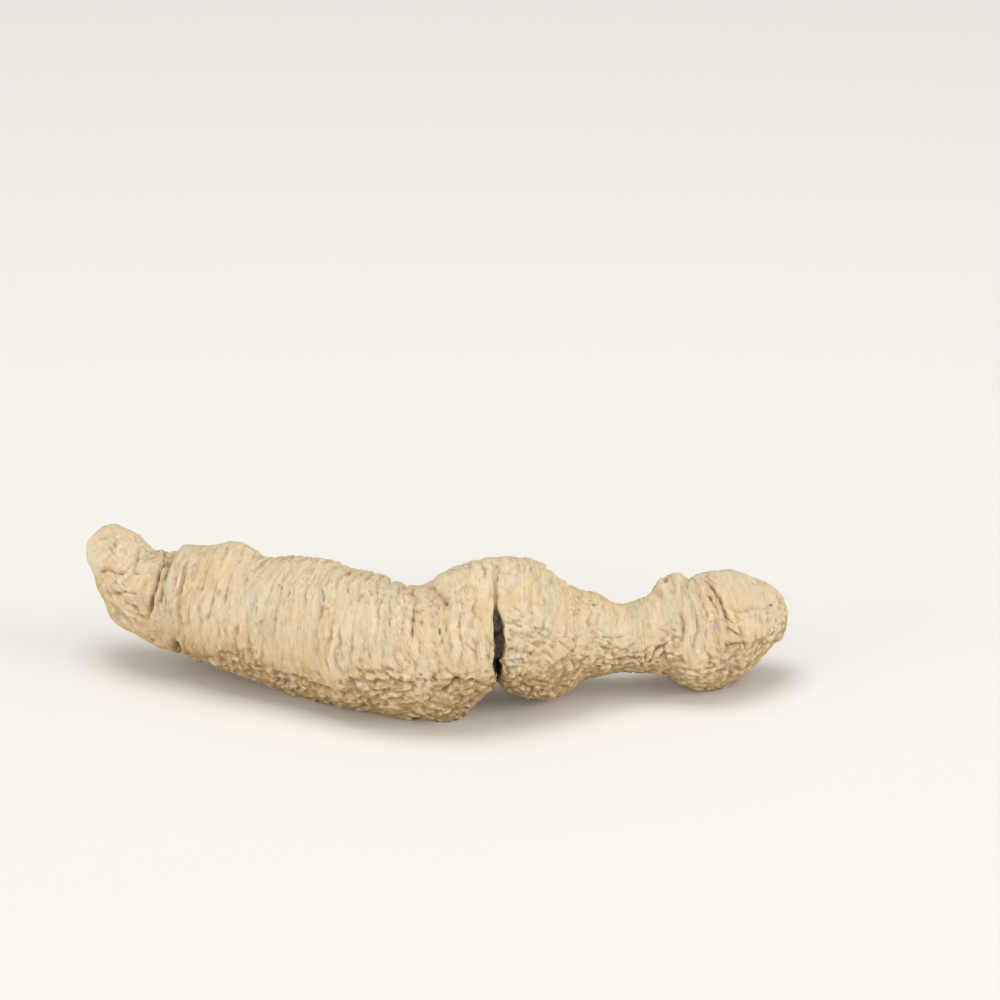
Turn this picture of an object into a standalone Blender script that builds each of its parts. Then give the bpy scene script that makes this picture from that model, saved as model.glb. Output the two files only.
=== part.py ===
"""A dried morinda root, lying on a table.

It is one natural piece: a blunt, bent root whose narrow end turns up, with a thick belly, a deep crack
across its waist, a thin neck and a round knob. Its skin has dried into rings of wrinkles. X runs along
the root from the narrow end to the knob, Y towards its back and Z up, and the table is at Z = 0.
"""

import math

import bmesh
import bpy
import numpy as np

NAME = "morinda_root"
MM = 0.001

# The root's form, in millimetres, at one station after another from the narrow end to the knob.
# Each holds the middle of the root, then how far its skin stands out from there on four sides.
#    x      y     z     back   top   front  bottom
STATIONS = np.array([
    (-42.1, 21.6, 16.6,  3.1,  2.9,  2.9,  2.9),
    (-41.5, 20.4, 14.9,  2.9,  3.4,  3.6,  3.8),
    (-40.1, 19.0, 12.9,  3.7,  3.5,  4.4,  4.5),
    (-38.4, 17.8, 11.2,  4.9,  3.9,  5.3,  5.8),
    (-35.3, 16.4,  9.7,  5.4,  5.2,  6.3,  6.6),
    (-31.9, 15.4,  9.4,  6.6,  6.9,  7.0,  7.3),
    (-29.0, 14.4,  9.3,  7.0,  7.7,  7.5,  7.8),
    (-26.0, 13.2,  9.1,  7.3,  7.8,  7.8,  8.0),
    (-23.4, 12.1,  8.9,  7.5,  6.6,  8.0,  8.1),
    (-18.6, 10.0,  8.6,  7.7,  8.5,  8.3,  9.1),
    (-10.9,  5.5,  8.6,  7.8,  8.0,  8.8,  9.1),
    (-6.8,   3.2,  8.8,  7.7,  7.9,  8.9,  9.4),
    (-4.6,   2.4,  8.9,  7.6,  7.0,  9.0,  9.6),
    (-1.6,   1.9,  9.2,  7.7,  6.8,  9.1,  9.9),
    (1.6,    1.8,  9.5,  8.0,  8.6,  9.1,  9.9),
    (4.8,    2.4,  9.7,  8.2,  9.3,  8.8,  7.9),
    (7.5,    3.2,  9.7,  8.2,  9.6,  8.4,  5.6),
    (10.4,   4.2,  9.2,  8.0,  9.4,  8.4,  7.4),
    (13.5,   5.2,  8.7,  7.4,  7.5,  7.8,  8.0),
    (16.0,   6.0,  8.3,  6.6,  6.2,  7.0,  8.2),
    (19.1,   6.8,  7.8,  5.6,  5.8,  5.8,  5.9),
    (22.3,   7.4,  7.4,  4.5,  3.9,  4.6,  4.6),
    (26.0,   8.1,  7.2,  4.7,  4.5,  4.9,  4.6),
    (29.1,   8.7,  7.3,  5.8,  5.4,  6.0,  5.6),
    (31.6,   9.1,  7.2,  6.6,  6.3,  6.9,  7.2),
    (34.8,   9.8,  7.4,  7.0,  7.4,  7.2,  7.4),
    (37.9,  10.7,  7.8,  6.7,  7.0,  6.6,  6.2),
    (41.0,  11.8,  8.3,  5.6,  5.1,  4.9,  4.5),
    (44.2,  12.9,  9.0,  5.2,  5.0,  4.4,  4.0),
])
# The origin is on the table, under the middle of the root's box: this moves the stations there.
TO_ORIGIN = (0.29, -8.09, 0.0)
CENTRE = STATIONS[:, :3] + TO_ORIGIN
REACH = STATIONS[:, 3:]
NARROW_END_ROUND = 2.2
KNOB_END_ROUND = 5.5
# The root bows in plan, but its wrinkles don't turn with it all along: the share they turn by, at each X.
PLAN_TURN = ((-30, 1.0), (-10, 0.45), (4, 0.1), (12, 0.2), (30, 0.5))

# Wrinkles, in millimetres: from one furrow to the next, from a furrow up to the crest beside it, and
# how far a wrinkle wanders along the root. WRINKLE_RANGE is the spread from one wrinkle to the next.
FURROW_GAP = (1.05, 1.6)
WRINKLE_HEIGHT = 0.55
WRINKLE_RANGE = (0.5, 1.4)
WRINKLE_SWAY = 0.45
WRINKLE_SEED = 11
# A wrinkle also swells and fades on its way round: its mean strength, its spread and its limits.
STRENGTH_MEAN = 0.6
STRENGTH_SPREAD = 0.5
STRENGTH_LIMITS = (0.1, 1.2)
# Below this height over the table, in millimetres, the skin is pressed smooth.
PRESSED_BELOW = 0.9

LUMP_HEIGHT = 0.30
NET_HEIGHT = 0.28
NET_LEVEL = 0.4
NET_STARTS = 0.35

# Random fields over the skin: a seed, the wave lengths along the root and the whole turns round it.
LUMPS = (3, (8, 20), (0, 3))
NET = (5, (3.2, 7), (5, 9))
SWAY = (7, (9, 18), (1, 4))
STRENGTH = (9, (3, 9), (1, 5))
WAVES = 24

# The crack, in millimetres: its left lip in X and how far that leans under the root, how wide the
# floor is where it is shut and how much wider it gets, its depth, and the flank under each lip.
CRACK_X = 6.68
CRACK_LEAN = 1.1
CRACK_SHUT = 0.12
CRACK_WIDTH = 0.85
CRACK_DEPTH = 4.4
CRACK_LIP = 0.14
# The first furrow's distance from the crack, and how far past it the wrinkles are pushed aside.
CRACK_CLEAR = 0.5
CRACK_PUSHES = 10.0
# How open it is at each angle round the root, in degrees from the back over the top to the front.
CRACK_OPEN = (
    (60, 0.0), (138, 0.0), (146, 0.35), (156, 0.85), (170, 1.0), (205, 1.0), (238, 0.5), (320, 0.0),
)
CRACK_DEEP = ((70, 0.0), (95, 0.1), (136, 0.15), (148, 0.8), (158, 1.0), (260, 1.0), (335, 0.0))

# Folds: X at the top of the root, the lean of the fold in millimetres from top to front,
# the angles in degrees where it starts and ends, how deep it goes and how wide it is.
FOLDS = (
    (-33.8, 0.5, 50, 180, 0.80, 0.50),
    (-31.8, -0.3, 180, 290, 1.40, 0.50),
    (-23.2, 0.6, 40, 130, 0.40, 0.45),
    (-5.8, 0.4, 40, 120, 0.50, 0.50),
    (-1.0, 2.4, 75, 190, 0.65, 0.50),
    (29.8, 0.6, 120, 260, 0.40, 0.45),
    (33.4, 2.2, 80, 190, 0.55, 0.45),
)
FOLD_FADE = math.radians(20)

# The stub of a rootlet that stands on the knob: its place, its size and its height.
STUB_X = 29.2
STUB_ANGLE = 80
STUB_RADIUS = 1.7
STUB_HEIGHT = 1.9

SIDES = 40
END_RINGS = 5
SLOPE_STEP = 0.5
SEARCH_STEPS = 2000
TABLE_Z = 0.0

BARK_COLOUR = (0.62, 0.52, 0.36, 1.0)
BARK_ROUGHNESS = 0.95


def marks_along(points):
    """The distance of each station from the first, along the root's middle."""
    steps = np.linalg.norm(np.diff(points, axis=0), axis=1)
    return np.concatenate([[0.0], np.cumsum(steps)])


MARKS = marks_along(CENTRE)
TIP = MARKS[-1]


def curve_through(values, along):
    """A smooth curve through the stations' values, with the slope at each taken from its two neighbours."""
    slope = np.gradient(values, MARKS, axis=0)
    i = np.clip(np.searchsorted(MARKS, along, side="right") - 1, 0, len(MARKS) - 2)
    width = (MARKS[i + 1] - MARKS[i])[..., None]
    u = (along - MARKS[i])[..., None] / width
    start = (1 + 2 * u) * (1 - u) ** 2 * values[i] + u * (1 - u) ** 2 * width * slope[i]
    end = u * u * (3 - 2 * u) * values[i + 1] + u * u * (u - 1) * width * slope[i + 1]
    return start + end


def along_at(x):
    """The distance along the root's middle at which it passes the X of the stations' table."""
    every = np.linspace(0, TIP, SEARCH_STEPS)
    return np.interp(x + TO_ORIGIN[0], curve_through(CENTRE, every)[:, 0], every)


def unit(vectors):
    return vectors / np.linalg.norm(vectors, axis=-1, keepdims=True)


def fullness(along):
    """1 along the root, rounding off to 0 at its two tips."""
    narrow = np.clip(along / NARROW_END_ROUND, 0, 1)
    knob = np.clip((TIP - along) / KNOB_END_ROUND, 0, 1)
    return np.sqrt(narrow * (2 - narrow) * knob * (2 - knob))


def skin(along, angle, height):
    """The skin's points, at distances along the root and angles round it, standing height out of its form.

    A section is made of four quarter ellipses, square to the root's middle line.
    """
    centre = curve_through(CENTRE, along)
    back, top, front, bottom = np.moveaxis(curve_through(REACH, along), -1, 0)
    before, after = (curve_through(CENTRE, along + step) for step in (-SLOPE_STEP, SLOPE_STEP))
    x, share = zip(*PLAN_TURN)
    facing = after - before
    facing[..., 1] *= np.interp(centre[..., 0] - TO_ORIGIN[0], x, share)
    facing = unit(facing)
    side = unit(np.cross((0, 0, 1), facing))
    upward = np.cross(facing, side)
    across = np.where(np.cos(angle) > 0, back, front) * np.cos(angle)
    rise = np.where(np.sin(angle) > 0, top, bottom) * np.sin(angle)
    grow = fullness(along) * (1 + height / np.hypot(across, rise))
    return centre + side * (across * grow)[..., None] + upward * (rise * grow)[..., None]


def ripples(field, along, angle):
    """A smooth random field over the skin, mostly from -1 to 1: a sum of waves, each of them with a whole
    number of turns round the root, so that the field meets itself."""
    seed, lengths, turns = field
    draw = np.random.default_rng(seed)
    total = np.zeros(np.broadcast(along, angle).shape)
    for _ in range(WAVES):
        wave = 2 * math.pi / draw.uniform(*lengths)
        turn = draw.integers(turns[0], turns[1] + 1) * draw.choice((-1, 1))
        total += np.cos(wave * along + turn * angle + draw.uniform(0, 2 * math.pi))
    return total / math.sqrt(2 * WAVES)


def window(angle, start, end):
    """1 between two angles, and fading to 0 just outside them."""
    middle, half = (start + end) / 2, (end - start) / 2
    off = np.abs((angle - middle + math.pi) % (2 * math.pi) - math.pi)
    return np.clip((half + FOLD_FADE - off) / FOLD_FADE, 0, 1)


def underside(angle):
    """0 on the top and the back of the root and 1 underneath, where the wrinkles break into a net."""
    return np.clip(NET_STARTS - np.sin(angle), 0, 1)


def relief(along, angle):
    """How far the skin's larger forms stand out: lumps, the net, the folds and the rootlet's stub."""
    height = LUMP_HEIGHT * ripples(LUMPS, along, angle)
    net = np.abs(ripples(NET, along, angle)) - NET_LEVEL
    height += NET_HEIGHT * underside(angle) * net
    for x, lean, start, end, depth, width in FOLDS:
        line = along_at(x) + lean * (angle - math.pi / 2) / (math.pi / 2)
        shape = np.exp(-(((along - line) / width) ** 2))
        height -= depth * shape * window(angle, math.radians(start), math.radians(end))
    girth = curve_through(REACH, along).mean(axis=-1)
    away = np.hypot(along - along_at(STUB_X), girth * (angle - math.radians(STUB_ANGLE)))
    return height + STUB_HEIGHT * np.exp(-((away / STUB_RADIUS) ** 2))


def around(table, angle):
    """Reads a table of (degrees, value) at an angle round the root."""
    degrees, values = zip(*table)
    return np.interp(np.degrees(angle), degrees, values)


def wrinkle_rings(start, end, draw):
    """(place, rise) of the rings of points that make wrinkles: furrows at -1 and crests at 1, in turn."""
    rings = []
    while start < end:
        gap = draw.uniform(*FURROW_GAP)
        rings += [(start, -draw.uniform(*WRINKLE_RANGE)), (start + gap / 2, draw.uniform(*WRINKLE_RANGE))]
        start += gap
    return rings


def end_rings(length, inwards):
    """(distance from the tip, rise) of the rings that round off an end."""
    turn = np.linspace(0, math.pi / 2, END_RINGS + 1)[1:-1]
    places = length * (1 - np.cos(turn))
    return [(place, 0.0) for place in (places if inwards else places[::-1])]


def skin_grid():
    """The skin's points, ring after ring: wrinkles, with the four rings of the crack among them."""
    draw = np.random.default_rng(WRINKLE_SEED)
    crack = along_at(CRACK_X)
    rings = [*end_rings(NARROW_END_ROUND, True)]
    rings += wrinkle_rings(NARROW_END_ROUND, crack - CRACK_CLEAR, draw)[:-1]
    cut_at = len(rings)
    rings += wrinkle_rings(crack + CRACK_CLEAR, TIP - KNOB_END_ROUND, draw)
    rings += [(TIP - place, rise) for place, rise in end_rings(KNOB_END_ROUND, False)]
    angle = np.arange(SIDES) * 2 * math.pi / SIDES
    places, rises = (np.array(column)[:, None] for column in zip(*rings))
    along = places + np.zeros(SIDES)
    rise = rises + np.zeros(SIDES)

    floor = CRACK_SHUT + CRACK_WIDTH * around(CRACK_OPEN, angle)
    depth = CRACK_DEPTH * around(CRACK_DEEP, angle)
    left = crack + CRACK_LEAN * np.clip(-np.sin(angle), 0, 1) ** 2
    right = left + 2 * CRACK_LIP + floor
    crack_along = np.array([left, left + CRACK_LIP, right - CRACK_LIP, right])
    nearness = np.clip(1 - (along[cut_at:] - crack) / CRACK_PUSHES, 0, 1)
    along[cut_at:] += (right - crack) * nearness
    sunk = np.zeros_like(along)
    along = np.concatenate([along[:cut_at], crack_along, along[cut_at:]])
    rise = np.concatenate([rise[:cut_at], 0 * crack_along, rise[cut_at:]])
    sunk = np.concatenate([sunk[:cut_at], [0 * depth, depth, depth, 0 * depth], sunk[cut_at:]])

    angle = angle + 0 * along
    sway = WRINKLE_SWAY * ripples(SWAY, along, angle) * fullness(along)
    smooth = relief(along, angle)
    free = np.clip(skin(along, angle, smooth)[..., 2] / PRESSED_BELOW, 0, 1)
    strength = np.clip(STRENGTH_MEAN + STRENGTH_SPREAD * ripples(STRENGTH, along, angle), *STRENGTH_LIMITS)
    wrinkle = WRINKLE_HEIGHT / 2 * rise * strength * free
    return skin(along + sway, angle, smooth + wrinkle - sunk)


def on_table(grid):
    """Presses what would sink into the table flat against it: the small flats that the root lies on."""
    lowest = np.array((-np.inf, -np.inf, TABLE_Z))
    return np.maximum(grid, lowest)


def bark():
    """The dried skin: matt and pale tan."""
    material = bpy.data.materials.new("dried_bark")
    material.use_nodes = True
    shader = material.node_tree.nodes["Principled BSDF"]
    shader.inputs["Base Color"].default_value = BARK_COLOUR
    shader.inputs["Roughness"].default_value = BARK_ROUGHNESS
    shader.inputs["Metallic"].default_value = 0.0
    return material


def skinned(grid):
    """A closed mesh over the rings of points, with a point in the middle of each end."""
    mesh = bmesh.new()
    rings = [[mesh.verts.new(point) for point in ring] for ring in grid * MM]
    for ring, following in zip(rings, rings[1:]):
        for j in range(SIDES):
            k = (j + 1) % SIDES
            mesh.faces.new((ring[j], ring[k], following[k], following[j]))
    for ring, tip, outwards in ((rings[0], 0.0, -1), (rings[-1], TIP, 1)):
        pole = mesh.verts.new(curve_through(CENTRE, np.array(tip)) * MM)
        for j in range(SIDES):
            mesh.faces.new((pole, ring[j], ring[(j + 1) % SIDES])[::outwards])
    return mesh


def root():
    mesh = skinned(on_table(skin_grid()))
    bmesh.ops.triangulate(mesh, faces=mesh.faces[:])
    bmesh.ops.recalc_face_normals(mesh, faces=mesh.faces[:])
    data = bpy.data.meshes.new(NAME)
    mesh.to_mesh(data)
    mesh.free()
    data.materials.append(bark())
    data.shade_smooth()
    piece = bpy.data.objects.new(NAME, data)
    bpy.context.scene.collection.objects.link(piece)
    return piece


for old in list(bpy.data.objects):
    bpy.data.objects.remove(old)
root()
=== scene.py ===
# %% [markdown]
# # A dried morinda root
#
# Morinda root is dug up, dried in the sun and beaten a little flat. As its soft outer flesh shrinks round
# the stringy core, it gathers into fine wrinkles that run round the root, and here and there it tears
# open down to the core. The skin is matt, dusty and pale tan, with brown in the furrows.
#
# In Blender such a skin could be sculpted by hand, or displaced by textures at render time. This lesson
# works it out with numpy instead: one grid of points wraps the root, and every wrinkle is a formula on
# that grid. The relief is then real geometry, the same in every view, and each form can be tuned by name.

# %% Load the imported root
import math

import bpy
import numpy as np
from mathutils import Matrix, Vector


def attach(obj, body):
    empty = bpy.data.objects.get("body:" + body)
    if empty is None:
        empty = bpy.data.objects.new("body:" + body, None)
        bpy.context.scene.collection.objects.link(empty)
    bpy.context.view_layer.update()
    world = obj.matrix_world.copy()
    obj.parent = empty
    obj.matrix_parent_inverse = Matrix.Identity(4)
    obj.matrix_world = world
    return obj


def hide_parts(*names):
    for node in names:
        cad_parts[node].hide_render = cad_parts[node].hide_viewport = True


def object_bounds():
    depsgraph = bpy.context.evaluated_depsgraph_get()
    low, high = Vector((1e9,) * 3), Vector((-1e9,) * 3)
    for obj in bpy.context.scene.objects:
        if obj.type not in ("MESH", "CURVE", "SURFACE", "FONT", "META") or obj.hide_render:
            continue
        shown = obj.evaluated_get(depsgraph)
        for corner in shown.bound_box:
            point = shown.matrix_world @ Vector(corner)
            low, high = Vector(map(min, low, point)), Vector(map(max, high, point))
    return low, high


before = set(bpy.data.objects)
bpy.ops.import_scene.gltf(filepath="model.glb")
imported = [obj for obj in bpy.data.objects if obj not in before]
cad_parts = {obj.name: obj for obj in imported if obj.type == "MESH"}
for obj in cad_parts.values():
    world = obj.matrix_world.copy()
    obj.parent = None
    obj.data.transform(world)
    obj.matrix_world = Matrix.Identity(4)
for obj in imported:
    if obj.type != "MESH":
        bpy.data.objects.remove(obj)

NODE = "morinda_root"
BODY = "root"
MM = 0.001

cad_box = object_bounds()
print("the packed root's box, in metres:", [tuple(round(c, 5) for c in corner) for corner in cad_box])

# %% [markdown]
# ## The root's form
#
# The form is the one that the construction uses: a smooth line runs through the middle of the root, and
# at each station on it four distances say how far the skin is on the back, the top, the front and the
# bottom. Lengths are in millimetres until the mesh is made, because wrinkles are easier to think about
# in millimetres than in metres.

# %% Stations along the root
#    x      y     z     back   top   front  bottom
STATIONS = np.array([
    (-42.1, 21.6, 16.6,  3.1,  2.9,  2.9,  2.9),
    (-41.5, 20.4, 14.9,  2.9,  3.4,  3.6,  3.8),
    (-40.1, 19.0, 12.9,  3.7,  3.5,  4.4,  4.5),
    (-38.4, 17.8, 11.2,  4.9,  3.9,  5.3,  5.8),
    (-35.3, 16.4,  9.7,  5.4,  5.2,  6.3,  6.6),
    (-31.9, 15.4,  9.4,  6.6,  6.9,  7.0,  7.3),
    (-29.0, 14.4,  9.3,  7.0,  7.7,  7.5,  7.8),
    (-26.0, 13.2,  9.1,  7.3,  7.8,  7.8,  8.0),
    (-23.4, 12.1,  8.9,  7.5,  6.6,  8.0,  8.1),
    (-18.6, 10.0,  8.6,  7.7,  8.5,  8.3,  9.1),
    (-10.9,  5.5,  8.6,  7.8,  8.0,  8.8,  9.1),
    (-6.8,   3.2,  8.8,  7.7,  7.9,  8.9,  9.4),
    (-4.6,   2.4,  8.9,  7.6,  7.0,  9.0,  9.6),
    (-1.6,   1.9,  9.2,  7.7,  6.8,  9.1,  9.9),
    (1.6,    1.8,  9.5,  8.0,  8.6,  9.1,  9.9),
    (4.8,    2.4,  9.7,  8.2,  9.3,  8.8,  7.9),
    (7.5,    3.2,  9.7,  8.2,  9.6,  8.4,  5.6),
    (10.4,   4.2,  9.2,  8.0,  9.4,  8.4,  7.4),
    (13.5,   5.2,  8.7,  7.4,  7.5,  7.8,  8.0),
    (16.0,   6.0,  8.3,  6.6,  6.2,  7.0,  8.2),
    (19.1,   6.8,  7.8,  5.6,  5.8,  5.8,  5.9),
    (22.3,   7.4,  7.4,  4.5,  3.9,  4.6,  4.6),
    (26.0,   8.1,  7.2,  4.7,  4.5,  4.9,  4.6),
    (29.1,   8.7,  7.3,  5.8,  5.4,  6.0,  5.6),
    (31.6,   9.1,  7.2,  6.6,  6.3,  6.9,  7.2),
    (34.8,   9.8,  7.4,  7.0,  7.4,  7.2,  7.4),
    (37.9,  10.7,  7.8,  6.7,  7.0,  6.6,  6.2),
    (41.0,  11.8,  8.3,  5.6,  5.1,  4.9,  4.5),
    (44.2,  12.9,  9.0,  5.2,  5.0,  4.4,  4.0),
])
# Added to the places above, it puts the middle of the root's box over the origin.
TO_ORIGIN = (0.29, -8.09, 0.0)
CENTRE = STATIONS[:, :3] + TO_ORIGIN
REACH = STATIONS[:, 3:]
NARROW_END_ROUND = 2.2
KNOB_END_ROUND = 5.5
# How far the sections turn with the bend, by X: 1 is all the way, 0 is not at all.
PLAN_TURN = ((-30, 1.0), (-10, 0.45), (4, 0.1), (12, 0.2), (30, 0.5))
MARKS = np.concatenate([[0.0], np.cumsum(np.linalg.norm(np.diff(CENTRE, axis=0), axis=1))])
TIP = MARKS[-1]
print(f"the root's middle line is {TIP:.1f} mm long")


# %% A smooth curve through the stations
def curve_through(values, along):
    """The smooth curve v(s) through the stations' values: on each stretch, with u from 0 to 1,
    v = (1 + 2u)(1 - u)^2 v0 + u(1 - u)^2 w m0 + u^2(3 - 2u) v1 + u^2(u - 1) w m1,
    where w is the stretch's length and m the slope at a station."""
    slope = np.gradient(values, MARKS, axis=0)
    i = np.clip(np.searchsorted(MARKS, along, side="right") - 1, 0, len(MARKS) - 2)
    width = (MARKS[i + 1] - MARKS[i])[..., None]
    u = (along - MARKS[i])[..., None] / width
    start = (1 + 2 * u) * (1 - u) ** 2 * values[i] + u * (1 - u) ** 2 * width * slope[i]
    end = u * u * (3 - 2 * u) * values[i + 1] + u * u * (u - 1) * width * slope[i + 1]
    return start + end


SEARCH_STEPS = 2000


def along_at(x):
    """The distance along the middle line at which it passes the X of the stations' table."""
    every = np.linspace(0, TIP, SEARCH_STEPS)
    return np.interp(x + TO_ORIGIN[0], curve_through(CENTRE, every)[:, 0], every)


def unit(vectors):
    """Each vector divided by its own length."""
    return vectors / np.linalg.norm(vectors, axis=-1, keepdims=True)


SLOPE_STEP = 0.5


def fullness(along):
    """sqrt(a(2 - a) b(2 - b)), with a and b growing from 0 to 1 over the two ends: round caps."""
    a = np.clip(along / NARROW_END_ROUND, 0, 1)
    b = np.clip((TIP - along) / KNOB_END_ROUND, 0, 1)
    return np.sqrt(a * (2 - a) * b * (2 - b))


def section(along, angle):
    """The middle of each section, its sideways and upward directions, and the skin's offset in them.
    offset = (R(angle) cos angle, R(angle) sin angle), R being the reach of that quarter."""
    centre = curve_through(CENTRE, along)
    back, top, front, bottom = np.moveaxis(curve_through(REACH, along), -1, 0)
    facing = curve_through(CENTRE, along + SLOPE_STEP) - curve_through(CENTRE, along - SLOPE_STEP)
    x, share = zip(*PLAN_TURN)
    facing[..., 1] *= np.interp(centre[..., 0] - TO_ORIGIN[0], x, share)
    facing = unit(facing)
    side = unit(np.cross((0, 0, 1), facing))
    upward = np.cross(facing, side)
    across = np.where(np.cos(angle) > 0, back, front) * np.cos(angle)
    rise = np.where(np.sin(angle) > 0, top, bottom) * np.sin(angle)
    return centre, side, upward, across, rise


def skin(along, angle, height):
    """The skin's points: middle + (1 + height / R) times the offset, shrinking to a point at each tip."""
    centre, side, upward, across, rise = section(along, angle)
    grow = fullness(along) * (1 + height / np.hypot(across, rise))
    return centre + side * (across * grow)[..., None] + upward * (rise * grow)[..., None]


# %% [markdown]
# ## Random fields
#
# Everything irregular on the skin comes from one idea: add up many plane waves with random directions
# and starting points, and the sum is a smooth random field. Where the waves mostly run along the root,
# the field changes quickly along it and slowly round it, which gives rings. Where they run every way, it
# gives blotches. The absolute value of such a field has sharp valleys where the field crosses zero and
# round hills between them, and that is just how shrunken skin gathers.

# %% Waves
WAVES = 48


def waves(seed, lengths, lean, places):
    """sum of cos(k . p + phase) over WAVES random waves, divided by sqrt(WAVES / 2) so its spread is 1.
    k = 2 pi / length times a random direction, whose parts are first scaled by lean."""
    draw = np.random.default_rng(seed)
    direction = unit(draw.normal(size=(WAVES, 3)) * lean)
    k = direction * (2 * math.pi / draw.uniform(*lengths, size=(WAVES, 1)))
    phase = draw.uniform(0, 2 * math.pi, WAVES)
    return np.cos(places @ k.T + phase).sum(axis=-1) / math.sqrt(WAVES / 2)


def folds_of(field, softness=0.9):
    """tanh(|field| / softness): sharp furrows at 0 and round crests near 1."""
    return np.tanh(np.abs(field) / softness)


def ramp(value, low, high):
    """0 below low, 1 above high, and 3t^2 - 2t^3 between them."""
    t = np.clip((value - low) / (high - low), 0, 1)
    return t * t * (3 - 2 * t)


EVERY_WAY = (1.0, 1.0, 1.0)
ROUND_THE_ROOT = (1.0, 0.12, 0.12)
MOSTLY_ROUND = (1.0, 0.25, 0.25)
LENGTHWISE = (0.22, 1.0, 1.0)
LOOSELY_LENGTHWISE = (0.55, 1.0, 1.0)

# %% [markdown]
# ## The grid
#
# The grid has rings along the root and points round it. The two round ends and the crack have rings of
# their own. The crack is part of the same skin: its rings go down one wall, over the floor and up the
# other wall, and where it is shut they lie in a shallow groove.

# %% Even rings, and closer ones on the round ends
SIDES = 192
RING_STEP = 0.205
NARROW_END_RINGS = 18
KNOB_END_RINGS = 40
CRACK_X = 6.68
CRACK_CLEAR = 0.2


def end_places(length, rings):
    """length (1 - cos t) for t from 0 to a quarter turn: rings at even steps over a round cap."""
    return length * (1 - np.cos(np.linspace(0, math.pi / 2, rings + 1)[1:]))


turn = np.arange(SIDES) * 2 * math.pi / SIDES
crack = along_at(CRACK_X)
left_rings = np.arange(NARROW_END_ROUND + RING_STEP, crack - CRACK_CLEAR, RING_STEP)
right_rings = np.arange(crack + CRACK_CLEAR, TIP - KNOB_END_ROUND, RING_STEP)
before = np.concatenate([end_places(NARROW_END_ROUND, NARROW_END_RINGS), left_rings])
after = np.concatenate([right_rings, (TIP - end_places(KNOB_END_ROUND, KNOB_END_RINGS))[::-1]])
print(f"{len(before)} rings before the crack and {len(after)} after it")

# %% How wide and how deep the crack is, round the root
CRACK_SHUT = 0.12
CRACK_WIDTH = 0.85
CRACK_DEPTH = 4.4
CRACK_LEAN = 1.1
CRACK_LIP = 0.14
CRACK_EDGE_WOBBLE = 0.08
LIP_CIRCLE = 5.0
# Both tables: degrees round the root, and the share of the full width or depth there.
CRACK_OPEN = (
    (60, 0.0), (138, 0.0), (146, 0.40), (154, 0.85), (170, 1.0), (205, 1.0), (238, 0.5), (320, 0.0),
)
CRACK_DEEP = (
    (75, 0.0), (95, 0.08), (136, 0.14), (148, 0.8), (158, 1.0), (168, 0.62),
    (195, 0.60), (206, 1.0), (260, 1.0), (335, 0.0),
)


def around(table):
    """Reads a table of (degrees, value) at each point round the root."""
    degrees, values = zip(*table)
    return np.interp(np.degrees(turn), degrees, values)


circle = np.stack([0 * turn, LIP_CIRCLE * np.cos(turn), LIP_CIRCLE * np.sin(turn)], axis=-1)
opening = around(CRACK_OPEN)
crack_depth = CRACK_DEPTH * around(CRACK_DEEP)
left_lip = crack + CRACK_LEAN * np.clip(-np.sin(turn), 0, 1) ** 2
left_lip = left_lip + CRACK_EDGE_WOBBLE * opening * waves(61, (1.2, 4), EVERY_WAY, circle)
right_lip = left_lip + 2 * CRACK_LIP + CRACK_SHUT + CRACK_WIDTH * opening
right_lip = right_lip + CRACK_EDGE_WOBBLE * opening * waves(62, (1.0, 4), EVERY_WAY, circle)
widest = (right_lip - left_lip).max()
print(f"the crack is {widest:.2f} mm wide and {crack_depth.max():.1f} mm deep at most")

# %% All rings together
WALL_RINGS = 9
FLOOR_RINGS = 7
CRACK_PUSHES = 10.0

wall = np.linspace(0, 1, WALL_RINGS)
floor_places = np.linspace(0, 1, FLOOR_RINGS + 2)[1:-1]
crack_down = np.concatenate([wall, np.ones(FLOOR_RINGS), wall[::-1]])[:, None]
crack_across = np.concatenate([0 * wall, floor_places, 0 * wall + 1])[:, None]
floor_left = left_lip + CRACK_LIP * crack_down
floor_right = right_lip - CRACK_LIP * crack_down
near_left = np.clip(1 - (crack - before[:, None]) / CRACK_PUSHES, 0, 1)
near_right = np.clip(1 - (after[:, None] - crack) / CRACK_PUSHES, 0, 1)
along = np.concatenate([
    before[:, None] + (left_lip - crack) * near_left,
    floor_left + (floor_right - floor_left) * crack_across,
    after[:, None] + (right_lip - crack) * near_right,
])
RINGS = len(along)
angle = turn + 0 * along
down = np.zeros(along.shape)
down[len(before):RINGS - len(after)] = crack_down
sunk = down * crack_depth
print(f"{RINGS} rings of {SIDES} points, {2 * RINGS * SIDES} triangles")

# %% [markdown]
# ## Where on the skin
#
# `along` and `angle` say where a point is on the unrolled skin, for marks that have a place of their own.
# `straight` is the root as it would be if it were pulled straight: fields that are read there follow the
# bend, and have no seam where the grid meets itself.

# %% The straightened root
centre, side, upward, across, rise = section(along, angle)
shrink = fullness(along)
straight = np.stack([along, across * shrink, rise * shrink], axis=-1)
girth = np.hypot(across, rise)
station_x = centre[..., 0] - TO_ORIGIN[0]
print("girth round the belly, in mm:", round(float(2 * math.pi * girth.mean(axis=1).max()), 1))

# %% [markdown]
# ## Regions
#
# The skin isn't the same all over. On the top and the sides it lies in low rings. On the narrow end, and
# low on the side beyond the crack, it is creased lengthwise. Underneath it has broken up into a net of
# small scales, which starts lower down towards the narrow end. One cheek of the knob and a spot on the
# narrow end are almost smooth. Each region is a number at each point of the grid, from 0 outside it to 1
# inside it, and a slow random field makes its border wander.

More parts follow.
